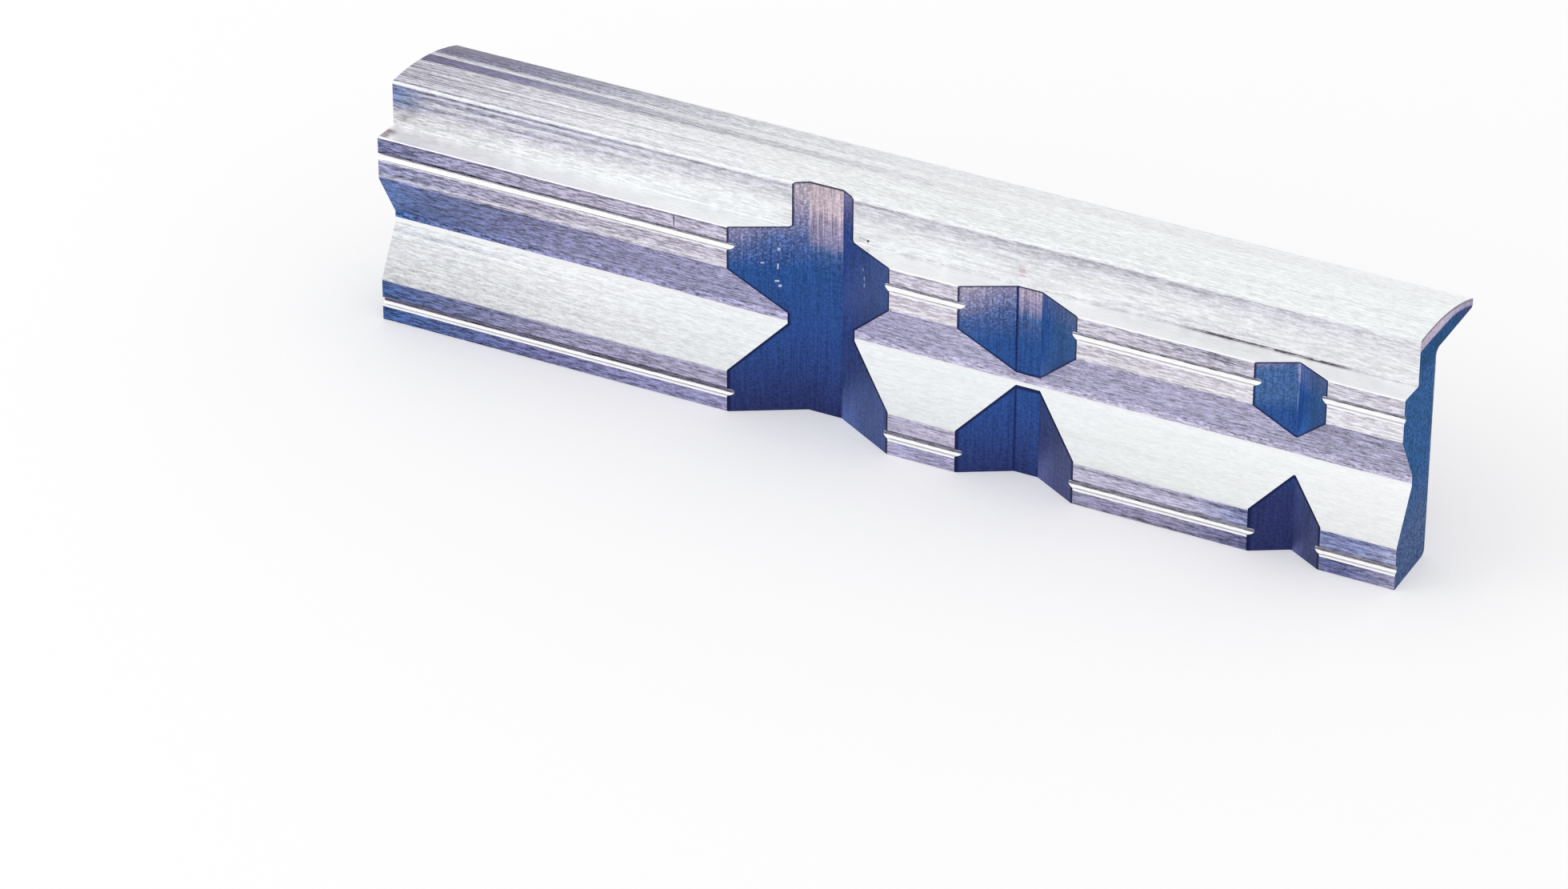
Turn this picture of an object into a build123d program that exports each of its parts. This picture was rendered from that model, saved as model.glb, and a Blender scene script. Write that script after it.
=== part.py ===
from build123d import *
from math import radians, tan
import os

# Vise jaw: an extruded aluminium bar that hooks over a vise's own jaw, where a magnet in its back holds it.
# Lengths are in millimetres and angles in degrees. X runs along the bar, from left to right as seen from
# the gripping side. +Y points from the gripping side to the back, and +Z is up.
# The shape is drawn with its back face on Y = 0, and moved at the end to stand over the origin.

# Bar: a block with a thinner web on top of it
length = 150.0
block_thickness = 10.0
block_height = 28.5
web_thickness = 5.65
crest_height = 35.0
ledge_dip = 0.2
ledge_radius = 0.3
crest_radius = 0.4
lip_radius = 0.2
foot_radius = 0.9

# Flange that hooks over the vise's own jaw: an arched top over a flat underside
flange_reach = 12.2
flange_underside = 30.8
flange_arch = 1.04
tip_thickness = 1.26
hook_radius = 1.0

# V along the middle of the block, for round work that lies level
vee_mouth = 15.75
vee_root = 1.6
vee_angle = 120.0

# Half-round groove along the block above and below the V
groove_radius = 0.55
groove_inset = 2.98

# Upright V notches for round work that stands: two placed from the middle, the smallest from the right end
notch_angle = 120.0
wide_notch_left_of_middle = 9.8
wide_notch_mouth = 24.0
wide_notch_root = 5.0
medium_notch_right_of_middle = 20.7
medium_notch_mouth = 17.2
medium_notch_root = 3.5
small_notch_from_end = 15.7
small_notch_mouth = 10.2
small_notch_root = 0.3
cutter_overrun = 2.0

# Magnet disc, seated flush in a round pocket in the back face
magnet_left_of_middle = 1.5
magnet_diameter = 25.0
magnet_thickness = 3.0
magnet_gap = 0.3
magnet_chamfer = 0.2

# Places that several features share
gripping_face = -block_thickness
block_middle = block_height / 2


def vee_depth(mouth, root, angle):
    """How deep a V goes whose flanks meet at the angle and end on a flat root."""
    return (mouth - root) / 2 / tan(radians(angle / 2))


def bar_section():
    """The bar's outline across its length: foot, V, ledge, web, crest, flange and back."""
    root_face = gripping_face + vee_depth(vee_mouth, vee_root, vee_angle)
    foot_back = (0, 0)
    foot_front = (gripping_face, 0)
    vee_lips = [(gripping_face, block_middle - vee_mouth / 2), (gripping_face, block_middle + vee_mouth / 2)]
    vee_roots = [(root_face, block_middle - vee_root / 2), (root_face, block_middle + vee_root / 2)]
    ledge_lip = (gripping_face, block_height)
    ledge_corner = (-web_thickness, block_height - ledge_dip)
    crest = (-web_thickness, crest_height)
    tip_top = (flange_reach, flange_underside + tip_thickness)
    tip_foot = (flange_reach, flange_underside)
    hook_corner = (0, flange_underside)

    front = Polyline(foot_back, foot_front, vee_lips[0], vee_roots[0], vee_roots[1], vee_lips[1],
                     ledge_lip, ledge_corner, crest)
    top = SagittaArc(crest, tip_top, flange_arch)
    back = Polyline(tip_top, tip_foot, hook_corner, foot_back)
    section = make_face([front, top, back])

    tip_radius = 0.4 * tip_thickness
    rounded = [(foot_back, foot_radius), (foot_front, lip_radius), (vee_lips[0], lip_radius),
               (vee_lips[1], lip_radius), (ledge_lip, lip_radius), (ledge_corner, ledge_radius),
               (crest, crest_radius), (tip_top, tip_radius), (tip_foot, tip_radius), (hook_corner, hook_radius)]
    for corner, radius in rounded:
        vertex = section.vertices().sort_by_distance(corner)[0]
        section = fillet(vertex, radius)

    for height in (groove_inset, block_height - groove_inset):
        section -= Pos(gripping_face, height) * Circle(groove_radius)
    return section


def notch_cutter(place, mouth, root):
    """A V blade set upright in the gripping face, which runs out past the foot and the crest."""
    depth = vee_depth(mouth, root, notch_angle)
    spread = mouth / 2 + cutter_overrun * tan(radians(notch_angle / 2))
    outside = gripping_face - cutter_overrun
    blade = Polyline((place - spread, outside), (place - root / 2, gripping_face + depth),
                     (place + root / 2, gripping_face + depth), (place + spread, outside), close=True)
    return Pos(0, 0, -cutter_overrun) * extrude(make_face(blade), crest_height + 2 * cutter_overrun)


def disc_in_back(diameter, depth):
    """A disc whose outer face lies in the bar's back face."""
    seat = Plane((-magnet_left_of_middle, 0, block_middle), x_dir=(1, 0, 0), z_dir=(0, -1, 0))
    return extrude(seat * Circle(diameter / 2), depth)


def make_jaw():
    """The bar, with its notches milled across the V and its magnet's pocket bored in the back."""
    jaw = extrude(Plane.YZ * bar_section(), length / 2, both=True)
    jaw -= notch_cutter(-wide_notch_left_of_middle, wide_notch_mouth, wide_notch_root)
    jaw -= notch_cutter(medium_notch_right_of_middle, medium_notch_mouth, medium_notch_root)
    jaw -= notch_cutter(length / 2 - small_notch_from_end, small_notch_mouth, small_notch_root)
    jaw -= disc_in_back(magnet_diameter + 2 * magnet_gap, magnet_thickness)
    return jaw


def make_magnet():
    """The magnet disc, with a narrow chamfer round its outer face."""
    magnet = disc_in_back(magnet_diameter, magnet_thickness)
    outer_edge = magnet.edges().group_by(Axis.Y)[-1]
    return chamfer(outer_edge, magnet_chamfer)


# The origin lies under the middle of the whole jaw
over_origin = Pos(0, (block_thickness - flange_reach) / 2, 0)
os.makedirs("parts", exist_ok=True)
export_step(over_origin * make_jaw(), "parts/jaw_bar.step")
export_step(over_origin * make_magnet(), "parts/magnet_disc.step")
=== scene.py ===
import math

import bpy
from mathutils import Matrix, Vector


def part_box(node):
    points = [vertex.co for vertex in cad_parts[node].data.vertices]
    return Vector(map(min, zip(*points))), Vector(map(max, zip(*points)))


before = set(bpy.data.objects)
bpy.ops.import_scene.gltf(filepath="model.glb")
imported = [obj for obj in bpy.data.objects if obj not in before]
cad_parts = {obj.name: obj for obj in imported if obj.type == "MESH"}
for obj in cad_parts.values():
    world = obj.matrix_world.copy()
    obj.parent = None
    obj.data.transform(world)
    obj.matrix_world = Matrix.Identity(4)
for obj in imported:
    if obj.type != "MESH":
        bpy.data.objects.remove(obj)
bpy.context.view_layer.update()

# Bar: one length of extruded aluminium that hooks over a vise's jaw. The die leaves fine lines along it.
# Each end is sawn, and a V cutter has milled the upright notches, which show its marks. Light and shade are
# painted into the bar's colours, with a cold blue reflection.
# Lengths in this section are in millimetres: X along the bar, Y from the gripping face to the back, Z up.
mm = 1000
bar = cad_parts["jaw_bar"]
bar_low, bar_high = (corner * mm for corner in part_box("jaw_bar"))
half_length = bar_high.x
gripping_face, flange_tip = bar_low.y, bar_high.y
web_face, back_face = gripping_face + 4.35, gripping_face + 10.0
block_height, crest_height = 28.5, 35.0


def tint(red, green, blue):
    """A colour written as it looks, from 0 to 255 a channel, turned into a shader's linear one."""
    shares = (level / 255 for level in (red, green, blue))
    return (*(s / 12.92 if s <= 0.04045 else ((s + 0.055) / 1.055) ** 2.4 for s in shares), 1.0)


class Wire:
    """An output of a shader node. Python's operators add Math nodes, so a mask reads as its formula."""

    def __init__(self, tree, socket=None):
        self.tree = tree
        self.socket = socket

    def node(self, kind, settings, sockets, output=0):
        """Adds a node, its settings first and then each socket's value or wire. Gives one of its outputs."""
        made = self.tree.nodes.new(kind)
        for name, setting in settings.items():
            if name != "stops":
                setattr(made, name, setting)
                continue
            elements = made.color_ramp.elements
            while len(elements) < len(setting):
                elements.new(1.0)
            for element, (place, colour) in zip(elements, setting):
                element.position = place
                element.color = colour
        for name, entry in sockets.items():
            if isinstance(entry, Wire):
                self.tree.links.new(entry.socket, made.inputs[name])
            else:
                made.inputs[name].default_value = entry
        return Wire(self.tree, made.outputs[output] if made.outputs else None)

    def maths(self, operation, *values):
        return self.node("ShaderNodeMath", {"operation": operation}, dict(enumerate(values)))

    def __add__(self, other):
        return self.maths("ADD", self, other)

    def __sub__(self, other):
        return self.maths("SUBTRACT", self, other)

    def __rsub__(self, other):
        return self.maths("SUBTRACT", other, self)

    def __mul__(self, other):
        return self.maths("MULTIPLY", self, other)

    def __truediv__(self, other):
        return self.maths("DIVIDE", self, other)

    def __abs__(self):
        return self.maths("ABSOLUTE", self)

    def at_least(self, other):
        return self.maths("MAXIMUM", self, other)

    def at_most(self, other):
        return self.maths("MINIMUM", self, other)

    __radd__ = __add__
    __rmul__ = __mul__


def rise(value, low, high):
    """0 below low, 1 above high, and a smooth step between them."""
    return value.node("ShaderNodeMapRange", {"interpolation_type": "SMOOTHSTEP"},
                      {"Value": value, "From Min": low, "From Max": high})


def near(value, middle, half, soft):
    """1 within half of the middle, falling smoothly to 0 over the soft width outside it."""
    return 1 - rise(abs(value - middle), half, half + soft)


def over(under, paint, mask):
    """One colour laid over another where the mask is 1."""
    return mask.node("ShaderNodeMix", {"data_type": "RGBA"}, {0: mask, 6: under, 7: paint}, output=2)


def tone(colour, factor):
    """A colour made lighter or darker by a factor."""
    return colour.node("ShaderNodeVectorMath", {"operation": "SCALE"}, {0: colour, "Scale": factor})


def ramp(value, *stops):
    """A colour that changes with a value. Each stop is a value and the colour there."""
    low, high = stops[0][0], stops[-1][0]
    places = [((stop - low) / (high - low), colour) for stop, colour in stops]
    return value.node("ShaderNodeValToRGB", {"stops": places}, {0: (value - low) / (high - low)})


def worn(colour, change):
    """A colour varied by a change about 0. Pale surfaces show less of it than dark ones."""
    brightness = change.node("ShaderNodeRGBToBW", {}, {0: colour})
    return tone(colour, 1 + change * (1.1 - brightness))


def grain(point, size, detail=1.0):
    """Marks from 0 to 1 that measure size along each axis, so that a long size draws out lines."""
    spots = point.node("ShaderNodeVectorMath", {"operation": "DIVIDE"}, {0: point, 1: size})
    noise = point.node("ShaderNodeTexNoise", {"noise_dimensions": "3D"},
                       {"Vector": spots, "Scale": 1.0, "Detail": detail, "Roughness": 0.55})
    return rise(noise, 0.3, 0.7)


def empty_material(name):
    """A new material without nodes, and the wire that starts them."""
    material = bpy.data.materials.new(name)
    material.use_nodes = True
    material.node_tree.nodes.clear()
    return material, Wire(material.node_tree)


def start_finish(name):
    """A new material, with wires for the point in millimetres, its three places and the normal's three."""
    material, first = empty_material(name)
    place = first.node("ShaderNodeTexCoord", {}, {}, output="Object")
    point = place.node("ShaderNodeVectorMath", {"operation": "SCALE"}, {0: place, "Scale": float(mm)})
    normal = first.node("ShaderNodeTexCoord", {}, {}, output="Normal")
    axes = [vector.node("ShaderNodeSeparateXYZ", {}, {0: vector}, output=axis)
            for vector in (point, normal) for axis in range(3)]
    return material, point, axes


def brushed(lines):
    """The roughness of brushed metal, which its lines vary a little."""
    return 0.36 + (lines - 0.5) * 0.12


def metal(colour, roughness, height, sheen=(1.0, 1.0, 1.0, 1.0), metallic=1.0):
    """Metal, with the height as fine relief and the sheen as the tint of what it mirrors aslant."""
    relief = height.node("ShaderNodeBump", {}, {"Strength": 0.35, "Distance": 2e-5, "Height": height})
    return height.node("ShaderNodeBsdfPrincipled", {},
                       {"Base Color": colour, "Metallic": metallic, "Roughness": roughness,
                        "Specular Tint": sheen, "Normal": relief})


def cover(piece, material, surface):
    """Closes the material with that surface and puts it on the piece."""
    surface.node("ShaderNodeOutputMaterial", {}, {"Surface": surface})
    piece.data.materials.clear()
    piece.data.materials.append(material)


bar_material, point, (x, y, z, nx, ny, nz) = start_finish("extruded_aluminium")
short_lines = grain(point, (1.5, 0.18, 0.18))
long_lines = grain(point, (60.0, 0.4, 0.4), detail=3.0)
hair_lines = grain(point, (90.0, 0.3, 0.3))
wide_marks = grain(point, (1.7, 0.4, 0.4))
speckle = grain(point, (0.45, 0.3, 0.3))
upright_marks = grain(point, (0.25, 0.25, 6.0), detail=3.0)
inward = y - gripping_face
above_block = rise(z, block_height - 0.3, block_height - 0.1)

# Block: lands below and above the level V, and between them the V's two flanks, which meet on a narrow root
groove_inset = 2.98
vee_middle, vee_depth = block_height / 2, 4.085
vee_foot, vee_top = 6.2, 22.2
root_line = vee_middle - 0.1 - rise(x, -40, -20) * 0.25
# Painted light and shade: the colours are bluer and darker towards the left end and by the small notch
blue, lilac = tint(70, 98, 152), tint(163, 159, 188)
bright, white = tint(246, 248, 249), tint(255, 255, 255)
foot_land = ramp(x, (-75, tint(76, 106, 164)), (-50, tint(126, 127, 170)), (0, tint(178, 174, 204)),
                 (45, tint(142, 138, 164)), (54, tint(106, 108, 145)), (68, tint(108, 113, 156)),
                 (75, tint(158, 156, 184)))
low_land = ramp(x, (-75, blue), (-50, lilac), (20, tint(204, 198, 218)), (75, tint(186, 186, 212)))
low_land = over(low_land, tint(120, 132, 180), near(x, 62, 6, 13) * 0.8)
# The lower flank faces up and is painted pale, darker low down, with a painted highlight along the root
low_flank = ramp(x, (-75, tint(222, 224, 228)), (-45, tint(234, 236, 239)), (0, tint(238, 241, 243)),
                 (75, bright))
low_flank = tone(low_flank, 0.75 + z * 0.0175)
low_flank = tone(low_flank, 1 - (1 - rise(x, -66, -20)) * (1 - rise(z, 8, 12.5)) * 0.09)
low_flank = over(low_flank, tint(253, 254, 254), rise(z, 13.4, 13.5))
low_flank = over(low_flank, tint(196, 197, 206), near(z, 12.5, 0.1, 0.25) * (1 - rise(x, -68, -50)))
# The upper flank faces down and is painted in shade
high_flank = ramp(x, (-75, tint(74, 106, 166)), (-69, tint(102, 118, 170)), (-44, tint(156, 154, 192)),
                  (15, tint(196, 190, 219)), (75, tint(178, 173, 201)))
high_flank = over(high_flank, tint(216, 213, 228), (1 - rise(z, 14.3, 15.1)) * rise(x, -40, 10) * 0.3)
high_flank = over(high_flank, tint(200, 198, 216), near(z, 15.8, 0.35, 0.4) * rise(x, -64, -50) * 0.22)
lower_lip = ramp(x, (-75, tint(152, 155, 190)), (-58, tint(178, 173, 196)), (-40, tint(200, 194, 208)),
                 (0, tint(219, 213, 224)), (45, tint(219, 215, 224)), (75, tint(230, 228, 234)))
upper_lip = ramp(x, (-75, tint(112, 118, 158)), (-66, tint(160, 157, 190)), (-50, tint(182, 177, 200)),
                 (20, tint(216, 211, 222)), (48, tint(200, 196, 211)), (75, tint(213, 210, 221)))
front = foot_land
for start, paint in ((groove_inset, low_land), (vee_foot, low_flank), (root_line, high_flank),
                     (vee_top, lower_lip), (block_height - groove_inset, upper_lip)):
    front = over(front, paint, rise(z - start, -0.06, 0.06))

# Lines painted along the lands, most by the lips: painted shade, and one painted highlight above the V. Each
# has a height, a colour and a strength. One patch is darker.
left_side = 1 - rise(x, -50, 30)
shade_and_highlight_lines = (
    (5.75, tint(84, 86, 120), 0.4),
    (21.9, tint(110, 108, 140), rise(x, 64, 66) * 0.4),
    (22.0, tint(84, 88, 136), left_side * 0.55),
    (21.9, tint(96, 98, 140), near(x, 7, 6, 5) * 0.45),
    (21.9, tint(96, 98, 140), near(x, 46, 4, 5) * 0.25),
    (22.75, bright, 0.7 - left_side * 0.3),
    (23.7, tint(130, 128, 164), left_side * 0.4),
    (24.5, tint(120, 116, 146), left_side * 0.35 + 0.2),
    (28.2, tint(104, 98, 122), left_side * 0.42 + 0.2))
for height, paint, strength in shade_and_highlight_lines:
    front = over(front, paint, near(z, height, 0.08, 0.15) * strength)
front = over(front, tint(152, 150, 172), near(x, 48, 2.5, 4) * rise(z, 26.9, 27.5) * 0.6)

# Ledge and web: nearly white, with dark lines along the web, a rosy stain, a scuff and a fleck
# Painted shade: bluer and darker at the left end, and darker up under the crest; a painted highlight along
# the ledge's lip
ledge = ramp(x, (-75, tint(242, 239, 242)), (-50, tint(250, 251, 252)), (75, white))
ledge = over(ledge, white, 1 - rise(inward, 1, 2))
left_web = ramp(z, (28.3, tint(236, 238, 239)), (30, tint(229, 230, 233)), (31.2, tint(209, 207, 217)),
                (33, tint(222, 221, 230)))
for height, half_width, strength in ((32.1, 0.12, 0.6), (33.45, 0.15, 0.85), (34.4, 0.05, 1.0)):
    left_web = over(left_web, tint(160, 158, 183), near(z, height, half_width, 0.35) * strength)
left_web = tone(left_web, 0.88 + rise(x, -73, -46) * 0.12)
right_web = ramp(z, (31.2, tint(237, 239, 241)), (33, tint(222, 223, 229)), (34.4, tint(202, 201, 211)))
web = over(left_web, right_web, rise(x, -54, -22))
web = over(web, tint(234, 234, 239), rise(x, 40, 76) * 0.6)
web = over(web, tint(222, 221, 228), near(x, 42, 8, 8) * (1 - rise(z, 29.5, 31)) * 0.5)
web = over(web, tint(84, 114, 172), (1 - rise(x, -75.5, -67.5)) * rise(z, 30, 32.5) * 0.75)
web = over(web, tint(120, 120, 150), near(z, 34.35, 0.08, 0.12) * (1 - rise(x, -50, 10)) * 0.5)
web = over(web, tint(226, 206, 214), near(x, 19.3, 0.25, 0.3) * near(z, 30.4, 0.7, 0.5) * 0.6)
web = over(web, tint(196, 192, 202), near(x, -3.9, 0.35, 0.3) * near(z, 29.0, 0.25, 0.2) * 0.6)
web = over(web, tint(84, 78, 96), near(x, -3.1, 0.12, 0.12) * near(z, 29.0, 0.12, 0.12))
above_lip = rise(z, 28.2, 28.25)
front = over(front, ledge, rise(nz, 0.35, 0.6) * above_lip)
front = over(front, web, rise(y - web_face, -0.35, -0.1) * above_lip)

# Painted shade in the crease between them, a scratch on the upper land, and a painted reflection on the
# ledge's left corner
crease = near(z, 28.4, 0.06, 0.1) * rise(y - web_face, -0.32, -0.25)
front = over(front, tint(206, 204, 212), crease * rise(x, -5, 5) * 0.5)
front = over(front, tint(88, 76, 88), crease * near(x, 54.5, 8.5, 5) * rise(short_lines, 0.0, 0.5))
scratch = near(x, -29.7, 0.07, 0.05) * near(z, 27.4, 0.8, 0.1) * near(inward, 0.0, 0.1, 0.1)
front = over(front, tint(92, 84, 104), scratch)
# A painted reflection on the ledge's left corner
painted_corner_reflection = (1 - rise(x, -74.4, -73)) * near(inward, 1.7, 1.0, 0.6) * above_lip
front = over(front, tint(128, 112, 120), painted_corner_reflection * 0.8)

# Grooves: a painted white highlight from the rolled lower lip to the lower wall, and painted shade above it
# at the upper lip.
# Where they start and end is as seen from the photo's side, along a line of sight that falls by sight_fall
# for each millimetre inward. The hidden upper wall stays white, because the lower wall mirrors it.
sight_fall = 0.687
along = rise(x, -70, 40)
lower_walls = rolled_lips = 0.0
for middle, white_start, dark_start, end in (
        (groove_inset, -0.84, 0.02, 0.84),
        (block_height - groove_inset, -0.62 - along * 0.2, 0.34 - along * 0.14, 0.88 - along * 0.16)):
    rising = z - middle
    shown = rising + inward * sight_fall
    on_lip = near(inward, 0.0, 0.6, 0.05)
    hidden = rise(inward, 0.005, 0.02) * near(rising, 0.4, 0.2, 0.05)
    above_start = rise(shown - white_start, 0.0, 0.27)
    lower_walls = lower_walls + near(rising, -0.3, 0.24, 0.04) * near(inward, 0.32, 0.28, 0.02)
    rolled_lips = rolled_lips + above_start * (1 - rise(rising, -0.53, -0.25)) * on_lip
    pale = rise(shown - white_start, -0.06, 0.06) * (1 - rise(shown - end, -0.2, 0.0) * (1 - hidden))
    dark = rise(shown - dark_start, 0.02, 0.2) * (1 - rise(shown - end, -0.1, 0.05)) * (1 - hidden)
    front = over(front, white, pale * on_lip)
    front = over(front, tint(96, 92, 116), dark * (1 - along * 0.15) * on_lip)

# Flange top: pale by its painted crest highlight and darker towards the left end, with darker bands of
# painted reflection along the back that fade out to the right
pale_top = ramp(x, (-75, tint(180, 179, 192)), (-56, tint(204, 202, 210)), (-42, tint(220, 220, 225)),
                (-20, tint(231, 233, 235)), (75, tint(239, 242, 243)))
dark_top = ramp(x, (-75, tint(92, 86, 120)), (-62, tint(112, 108, 144)), (-40, tint(182, 182, 194)),
                (-26, tint(208, 209, 214)), (0, tint(226, 227, 230)), (75, tint(239, 241, 243)))
band_edge = y + (long_lines - 0.5) * 0.7
top = over(pale_top, dark_top, rise(band_edge, 4.7, 5.1))
top = over(top, tone(dark_top, 0.94), near(band_edge, 2.2, 1.15, 0.3) * (1 - rise(x, -10, 30)))
top = over(top, tint(224, 225, 236), near(band_edge, 4.2, 0.15, 0.2) * (1 - rise(x, -50, -25)))
crest = rise(z, 34.5, 34.65) * (1 - rise(nz, 0.86, 0.97)) * (1 - rise(y - web_face, 0.4, 0.6))

# Back and underside: the die's long lines show most here, on painted reflection from pale lilac at one end to
# blue at the other
back = ramp(x, (-75, tint(219, 218, 223)), (-50, tint(199, 196, 208)), (-14, tint(180, 177, 200)),
            (12, tint(138, 142, 182)), (40, tint(122, 127, 168)), (75, tint(116, 120, 160)))
# Painted reflection on the flange's tip, pale at one end and blue at the other
tip = ramp(x, (-75, tint(240, 240, 242)), (-20, tint(232, 231, 234)), (25, tint(206, 201, 215)),
           (50, tint(160, 161, 190)), (75, tint(118, 124, 162)))
on_top = rise(nz + rise(y, 8, 9) * 0.5, 0.3, 0.8) * rise(z, 30.5, 31.0)
skin = over(front, top, on_top)
# A painted highlight along the crest
skin = over(skin, tint(238, 240, 243), crest)
skin = over(skin, back, rise(ny, 0.3, 0.6) * (1 - rise(y, 2.0, 3.0)))
skin = over(skin, tip, rise(y - flange_tip, -0.25, -0.1) * (1 - rise(nz, 0.1, 0.4)))
# The underside is painted in a lilac shade
skin = over(skin, lilac, 1 - rise(nz, -0.9, -0.6))

# Brushing: strongest on the V's upper flank and on the flange's back, and calm on the pale lower flank
front_side = 1 - rise(y - web_face, 0.05, 0.15)
pale_flank = front_side * rise(z - vee_foot, 0.0, 0.2) * (1 - rise(z - root_line, -0.1, 0.0))
dark_flank = front_side * rise(z - root_line, 0.0, 0.1) * (1 - rise(z - vee_top, -0.2, 0.0))
lands = front_side * (1 - above_block) - pale_flank - dark_flank
left_top = on_top * (1 - rise(x, -60, 0))
far_band = left_top * rise(y, 4.4, 4.8)
calm = 1 - pale_flank * (0.25 + rise(x, -60, 10) * 0.4)
land_marks = lands * (0.1 + rise(z, 6.5, 20) * 0.3)
wear = (short_lines - 0.5) * (1 + land_marks) + (long_lines - 0.5) * 0.5 + (speckle - 0.5) * 0.4
wear = wear * calm + ((wide_marks - 0.5) * 0.9 + (speckle - 0.5) * 0.3) * dark_flank
wear = wear + (hair_lines - 0.5) * left_top * 1.2 + (short_lines + speckle - 1.0) * far_band * 0.6
skin = worn(skin, wear)

# Notches: painted reflection and shade, blue low down and paler by the ledge, with a painted rosy sheen high
# on their flat roots
wide_place, wide_mouth, wide_root = -9.8, 24.0, 5.0
medium_place, medium_mouth, medium_root = 20.7, 17.2, 3.5
small_place, small_mouth, small_root = half_length - 15.7, 10.2, 0.3
in_wide, in_medium, in_small = 1 - rise(x, 3, 4), near(x, medium_place, 9, 1), rise(x, 50, 52)
faces_left = 1 - rise(nx, -0.3, -0.2)
on_root = near(nx, 0.0, 0.1, 0.1)
up = z + in_medium * 1.9 - in_small * 1.5 + (1 - rise(inward, 0.5, 3.1)) * rise(z, 23, 24.5) * 1.8
milled = ramp(up, (0, tint(54, 62, 112)), (11, tint(52, 82, 147)), (22, tint(50, 87, 150)),
              (26.5, tint(84, 103, 153)), (29.5, tint(138, 138, 174)), (33, tint(183, 173, 188)))
milled = over(milled, tint(74, 108, 160), in_small * rise(z, 21, 23.5) * (1 - rise(z, 27, 28.4)))
milled = over(milled, tint(52, 60, 108), in_small * (1 - rise(z, 7, 14)))
right_flank = ramp(z, (0, tint(88, 94, 146)), (10, tint(88, 102, 150)), (18.5, tint(40, 84, 146)),
                   (24.5, tint(58, 104, 164)), (28.5, tint(108, 128, 176)))
wide_right_flank = ramp(z, (0, tint(88, 110, 172)), (29, tint(74, 102, 168)), (34, tint(128, 130, 172)))
right_flank = over(right_flank, wide_right_flank, in_wide)
right_flank = tone(right_flank, 1 - in_small * (1 - rise(z, 1, 7)) * 0.2)
pale_streak = near(x, 60.2, 0.9, 0.8) * rise(z, 24.2, 26.5)
right_flank = over(right_flank, tint(112, 130, 172), pale_streak * 0.6)
milled = over(milled, right_flank, faces_left)
root_up = z + in_medium
rosy_root = ramp(root_up + (upright_marks - 0.5) * 0.7, (24.7, tint(68, 101, 156)),
                 (26.3, tint(140, 138, 175)), (28.4, tint(164, 156, 185)), (29.8, tint(166, 155, 178)),
                 (31, tint(202, 186, 197)), (36, tint(207, 191, 201)))
rosy_root = over(rosy_root, tint(186, 172, 190), in_medium * rise(z, 26.0, 27.5) * 0.6)
milled = over(milled, rosy_root, on_root * rise(root_up, 24.2, 24.6))

# Painted shade along the root's left edge in the medium notch, and a painted highlight along it, high up, in
# the small notch
medium_edge = near(x, medium_place - medium_root / 2, 0.1, 0.1)
small_edge = near(x, small_place - small_root / 2, 0.1, 0.1) * rise(z, 20.5, 23)
milled = over(milled, tint(40, 52, 106), medium_edge)
milled = over(milled, tint(130, 146, 188), small_edge * rise(upright_marks, 0.2, 0.6) * 0.8)

# Cutter marks with scattered painted glints, and a few small painted glints: each has its place, its height
# and half its width and height
left_facing = rise(z, 20, 25) * (1 - faces_left * 0.6) * (1 - in_small * 0.6)
marks = (upright_marks - 0.5) * (0.3 + left_facing * 0.2) + (speckle - 0.5) * 0.35
marks = marks + rise(speckle, 0.5, 0.95) * left_facing * (1 - on_root * 0.6) * 0.6 - left_facing * 0.08
marks = marks + (upright_marks - 0.5) * on_root * rise(z, 25, 29) * 0.5
milled = worn(milled, marks)
for place, height, half_width, half_height in (
        (-16.0, 20.05, 0.2, 0.08), (-15.65, 19.3, 0.12, 0.12), (-15.9, 22.3, 0.03, 0.35),
        (-15.8, 24.9, 0.1, 0.15), (-17.7, 22.9, 0.15, 0.05), (-3.2, 25.3, 0.03, 0.2),
        (-2.9, 24.1, 0.04, 0.25), (-2.9, 23.1, 0.03, 0.2)):
    painted_glint = near(x, place, half_width, 0.12) * near(z, height, half_height, 0.12)
    milled = over(milled, tint(200, 212, 236), painted_glint * 0.9)

# A thin dark rim where a notch's faces end: at the lands, the V, the ledge, the web and the crest
half_angle = math.radians(60)
slope = 1 / math.tan(half_angle)
vee_mouth = 15.75
into_vee = ((vee_mouth / 2 - abs(z - vee_middle)) * slope).at_least(0.0).at_most(vee_depth)
below_root = 1 - rise(z, 13.3, 13.5)
ledge_dip = 0.2
ledge_height = block_height - inward * ledge_dip / (web_face - gripping_face)
rims = (1 - rise(inward - into_vee - below_root * 0.1, 0.06, 0.24)) * (1 - above_block)
rims = rims.at_least((1 - rise(ledge_height - z, 0.1, 0.3)) * (1 - rise(y - web_face, -0.15, -0.05)))
rims = rims.at_least((1 - rise(y - web_face, 0.03, 0.2)) * rise(z, 28.3, 28.4))
rims = rims.at_least(rise(z, 34.7, 34.9))
milled = over(milled, tint(32, 38, 78), rims * 0.9)


def notch_faces(place, mouth, root):
    """1 on a notch's faces, and how far out towards the lip a place on them is, from 0 at the root to 1."""
    reach = (mouth - root) / 2
    root_face = gripping_face + reach * slope
    way_out = (abs(x - place) - root / 2).at_least(0.0)
    faces = near(y + way_out * slope, root_face, 0.03, 0.03) * near(x, place, mouth / 2, 0.02)
    return faces, way_out / reach


# Painted shade on each notch's right flank: it darkens from its root to its lip, by one factor at the root
# and one at the lip
notches = 0.0
for place, mouth, root, root_gain, lip_gain in ((wide_place, wide_mouth, wide_root, 1.12, 0.7),
                                                (medium_place, medium_mouth, medium_root, 1.35, 0.8),
                                                (small_place, small_mouth, small_root, 1.75, 0.8)):
    faces, share = notch_faces(place, mouth, root)
    shaded = tone(milled, root_gain - rise(share, 0.0, 0.6) * (root_gain - lip_gain))
    milled = over(milled, shaded, faces * faces_left)
    notches = notches + faces
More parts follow.
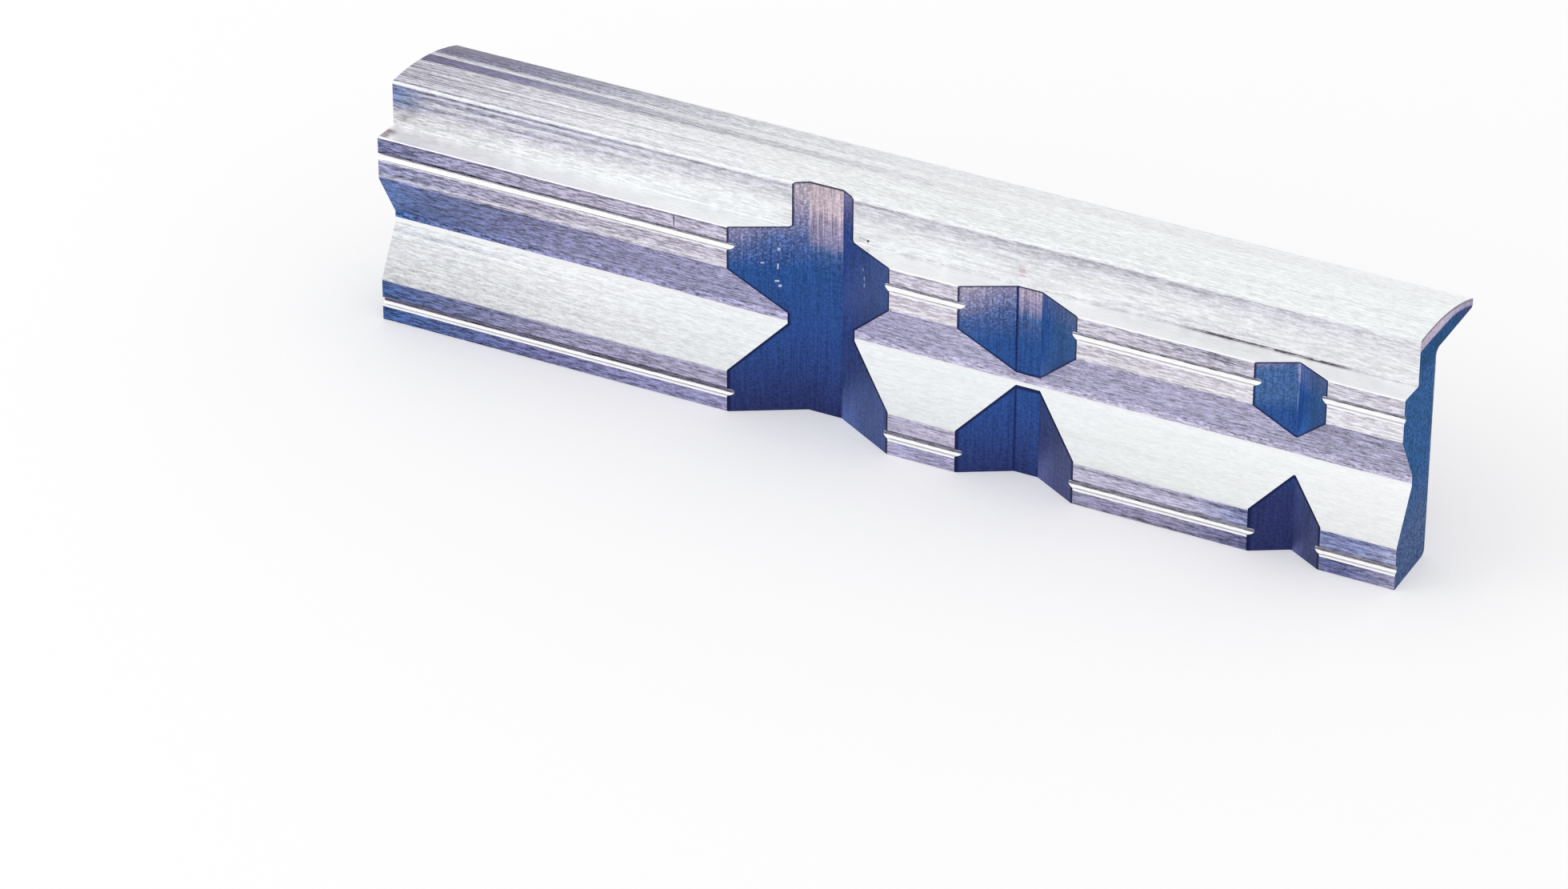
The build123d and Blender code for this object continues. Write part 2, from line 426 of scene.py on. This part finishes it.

# Sawn ends: painted reflection, a speckled blue, darker at the top and towards the flange's tip, with a rosy
# grey line by the back and a rosy grey band on the end of the flange
ends = rise(abs(nx), 0.8, 0.9)
flange_middle, flange_half = (web_face + flange_tip) / 2, (flange_tip - web_face) / 2
flange_fall, flange_arch = 0.165, 1.04
across = (y - flange_middle) / flange_half
flange_top = crest_height - (y - web_face) * flange_fall + (1 - across * across) * flange_arch
below_top = flange_top - z
sawn = over(tint(90, 98, 138), tint(54, 85, 140), rise(z, 4, 17))
sawn = over(sawn, tint(40, 68, 118), rise(z, 29, 31))
sawn = over(sawn, tint(70, 52, 120), rise(y, 4, 9))
sawn = over(sawn, tint(128, 112, 134), near(y, back_face, 0.1, 0.4) * rise(z, 4, 20) * (1 - rise(z, 30, 31)))
sawn = worn(sawn, (speckle - 0.5) * 1.1 + (upright_marks - 0.5) * 0.3)
rosy = ramp(y, (-6.0, tint(176, 160, 184)), (0.0, tint(190, 176, 204)), (9.0, tint(150, 140, 172)))
rosy = over(rosy, tint(128, 112, 126), 1 - rise(below_top, 0.25, 0.45))
rosy = worn(rosy, (speckle - 0.5) * 0.7)
rosy_band = 1 - rise(below_top + rise(y, -2, 7) * 0.7, 1.5, 1.9)

# The bar's two surfaces: drawn and milled metal, whose grooves are smoother, and sawn metal with a blue sheen
lower_walls = lower_walls * (1 - notches)
rolled_lips = rolled_lips * (1 - notches)
groove_lip = lower_walls * (1 - rise(inward, 0.13, 0.17))
lip_relief = 14
lines = long_lines + (upright_marks - long_lines) * notches
relief = lines * calm * (1 - lower_walls) - rolled_lips * lip_relief
colour = over(over(skin, milled, notches), rosy, ends)
roughness = brushed(long_lines) * (1 - lower_walls * 0.7)
drawn = metal(colour, roughness, relief, metallic=1 - groove_lip)
cut = metal(sawn, 0.48, speckle, sheen=(0.55, 0.8, 1.0, 1.0))
surface = drawn.node("ShaderNodeMixShader", {}, {0: ends * (1 - rosy_band), 1: drawn, 2: cut})
cover(bar, bar_material, surface)

# Magnet: a ground steel-cased disc, flush in its pocket with a thin dark joint round it. It is darker than
# the bar, and the same grinding lines run across both.
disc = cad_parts["magnet_disc"]
disc_material, point, axes = start_finish("ground_magnet_case")
z = axes[2]
short_lines = grain(point, (1.4, 0.3, 0.3))
long_lines = grain(point, (60.0, 0.4, 0.4), detail=3.0)
speckle = grain(point, (0.45, 0.3, 0.3))
face = over(tint(102, 106, 146), tint(96, 112, 152), rise(z, 7, 13))
face = over(face, tint(130, 125, 162), rise(z, 17, 24))
face = over(face, tint(168, 176, 206), rise(long_lines, 0.75, 0.95) * 0.7)
face = worn(face, (short_lines - 0.5) * 0.6 + (long_lines - 0.5) * 0.6 + (speckle - 0.5) * 0.4)
cover(disc, disc_material, metal(face, brushed(long_lines), long_lines))

# Floor: plain, pale and matt. It looks white to the camera and in the metal, and keeps the object's shadow.
bpy.ops.mesh.primitive_plane_add(size=8.0)
floor = bpy.context.object
floor.name = "floor"


def seen_rays(start):
    """1 for the rays that see a surface straight or in a reflection, and 0 for those that light it."""
    seen = start.node("ShaderNodeLightPath", {}, {}, output="Is Camera Ray")
    for ray in ("Is Glossy Ray", "Is Transmission Ray"):
        seen = seen.at_least(start.node("ShaderNodeLightPath", {}, {}, output=ray))
    return seen


floor_material, start = empty_material("floor_paint")
matt = start.node("ShaderNodeBsdfDiffuse", {}, {"Color": (0.9, 0.9, 0.9, 1.0)})
seen_glow = seen_rays(start) * 0.3
glow = start.node("ShaderNodeEmission", {}, {"Color": (1.0, 1.0, 1.0, 1.0), "Strength": seen_glow})
cover(floor, floor_material, start.node("ShaderNodeAddShader", {}, {0: matt, 1: glow}))

# Light: a white room, with a large soft lamp above and a smaller one to the left
world = bpy.data.worlds.new("white_room")
world.use_nodes = True
world.node_tree.nodes.clear()
room = Wire(world.node_tree)
room_light = 0.7
strength = room_light + seen_rays(room) * (1 - room_light)
sky = room.node("ShaderNodeBackground", {}, {"Color": (1.0, 1.0, 1.0, 1.0), "Strength": strength})
room.node("ShaderNodeOutputWorld", {}, {"Surface": sky})
bpy.context.scene.world = world


def soft_lamp(name, place, size, power):
    """A square lamp, in metres and watts, that points at the object."""
    lamp = bpy.data.lights.new(name, "AREA")
    lamp.size = size
    lamp.energy = power
    holder = bpy.data.objects.new(name, lamp)
    holder.location = place
    holder.rotation_euler = (-Vector(place)).to_track_quat("-Z", "Y").to_euler()
    bpy.context.scene.collection.objects.link(holder)


soft_lamp("overhead_lamp", (-0.1, 0.1, 0.9), 0.7, 0.3)
soft_lamp("left_lamp", (-0.7, -0.5, 0.6), 0.5, 0.8)

# Camera: the photo's view, with a long lens from in front, above and to the right. Places are in metres.
azimuth, elevation, roll = (math.radians(angle) for angle in (27.018, 31.48, 0.189))
distance = 0.88757
aim = Vector((-0.009535, -0.018248, 0.002125))
back_axis = Vector((math.sin(azimuth) * math.cos(elevation), -math.cos(azimuth) * math.cos(elevation),
                    math.sin(elevation)))
level_axis = Vector((math.cos(azimuth), math.sin(azimuth), 0.0))
rising_axis = back_axis.cross(level_axis)
right_axis = level_axis * math.cos(roll) + rising_axis * math.sin(roll)
up_axis = rising_axis * math.cos(roll) - level_axis * math.sin(roll)
lens = bpy.data.cameras.new("camera")
lens.sensor_width = 36.0
lens.lens = 153.694
lens.clip_start = 0.01
camera = bpy.data.objects.new("camera", lens)
camera.matrix_world = (Matrix.Translation(aim + back_axis * distance)
                       @ Matrix((right_axis, up_axis, back_axis)).transposed().to_4x4())
bpy.context.scene.collection.objects.link(camera)
bpy.context.scene.camera = camera
bpy.context.scene.view_settings.view_transform = "Standard"
